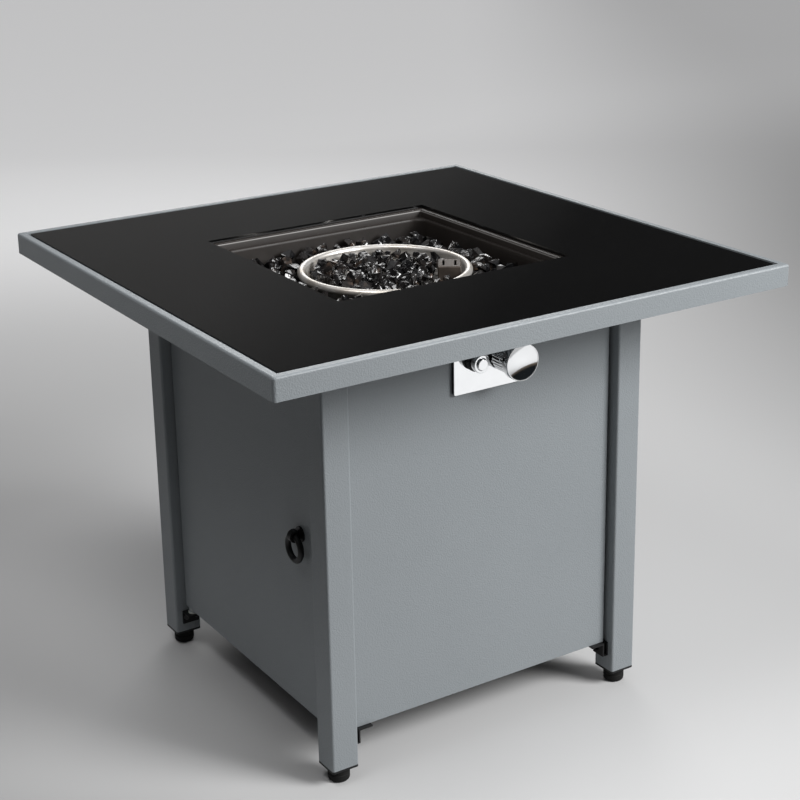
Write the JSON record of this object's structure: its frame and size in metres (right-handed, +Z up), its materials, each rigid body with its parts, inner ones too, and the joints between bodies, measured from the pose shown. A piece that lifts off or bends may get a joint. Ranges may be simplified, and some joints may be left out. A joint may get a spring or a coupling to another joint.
{
  "type": "gas fire pit table",
  "caption": "Square steel fire pit table with a black glass top, sunk round gas burner among stones, cylinder cabinet with a swinging door, control knob and igniter button.",
  "frame": {"origin": "middle of the table on the floor, under the four feet", "axes": "+Z up; the controls face -Y; the door faces -X"},
  "size_m": [0.711, 0.711, 0.582],
  "materials": {
    "coat": "grey fine-textured powder coat",
    "black_coat": "satin black coat",
    "black_glass": "polished black",
    "soft_pad": "clear soft pad",
    "bowl": "heat-darkened steel",
    "burner": "heat-tinted stainless steel",
    "stones": "glossy black broken stone",
    "brass": "machined",
    "zinc": "zinc plated",
    "ceramic": "plain",
    "copper": "drawn copper",
    "lead": "silicone sleeve",
    "rubber": "moulded",
    "black_plastic": "moulded",
    "nylon": "moulded",
    "chrome": "mirror plated"
  },
  "bodies": {
    "cabinet": {"top_frame": "coat", "leg_front_left": "coat", "leg_front_right": "coat", "leg_rear_left": "coat", "leg_rear_right": "coat", "front_panel": "coat", "right_panel": "coat", "rear_panel": "coat", "rail_front": "black_coat", "rail_right": "black_coat", "rail_rear": "black_coat", "rail_left": "black_coat", "base_shelf": "black_coat", "panel_brackets": "black_coat", "pivot_bracket": "black_coat", "spark_shield": "black_coat", "control_box": "black_coat", "glass_top": "black_glass", "glass_pads": "soft_pad", "fire_bowl": "bowl", "burner_dish": "burner", "burner_plate": "burner", "bowl_stones": "stones", "burner_stones": "stones", "burner_elbow": "brass", "burner_nut": "brass", "gas_jet": "brass", "pipe_nuts": "brass", "valve_cap": "brass", "air_mixer": "zinc", "gas_pipe": "zinc", "bracket_bolts": "zinc", "top_nuts": "zinc", "pan_screws": "zinc", "valve_body": "zinc", "valve_spring": "zinc", "igniter_spring": "zinc", "igniter_battery": "zinc", "electrode": "ceramic", "thermocouple": "copper", "thermocouple_lead": "copper", "ignition_lead": "lead", "rubber_feet": "rubber", "leg_plugs": "black_plastic", "magnet_catch": "black_plastic", "igniter_body": "black_plastic", "igniter_nut": "black_plastic", "pivot_bushes": "nylon", "control_plate": "chrome", "igniter_bezel": "chrome"},
    "door": {"door_panel": "coat", "door_pins": "zinc", "ring_eye": "black_coat", "ring_nut": "zinc"},
    "ring": {"ring_pull": "black_coat"},
    "plunger": {"valve_plunger": "brass"},
    "knob": {"valve_spindle": "zinc", "knob_skirt": "chrome", "knob_cap": "chrome"},
    "button": {"igniter_button": "chrome"}
  },
  "joints": [
    {"name": "door_swing", "type": "hinge", "parent": "cabinet", "child": "door", "pos_m": [-0.21, 0.184, 0.304], "axis": [0, 0, -1], "range_deg": [0, 95]},
    {"name": "ring_lift", "type": "hinge", "parent": "door", "child": "ring", "pos_m": [-0.226, -0.147, 0.2975], "axis": [0, 1, 0], "range_deg": [-5, 170]},
    {"name": "knob_push", "type": "slide", "parent": "cabinet", "child": "plunger", "axis": [0, 1, 0], "range_m": [0, 0.003], "stiffness_N_per_m": 700, "springref_m": -0.005, "deforming": ["valve_spring"]},
    {"name": "knob_turn", "type": "hinge", "parent": "plunger", "child": "knob", "pos_m": [0.0254, -0.236, 0.496], "axis": [0, -1, 0], "range_deg": [0, 180]},
    {"name": "button_push", "type": "slide", "parent": "cabinet", "child": "button", "axis": [0, 1, 0], "range_m": [0, 0.0025], "stiffness_N_per_m": 500, "springref_m": -0.004, "deforming": ["igniter_spring"]}
  ]
}
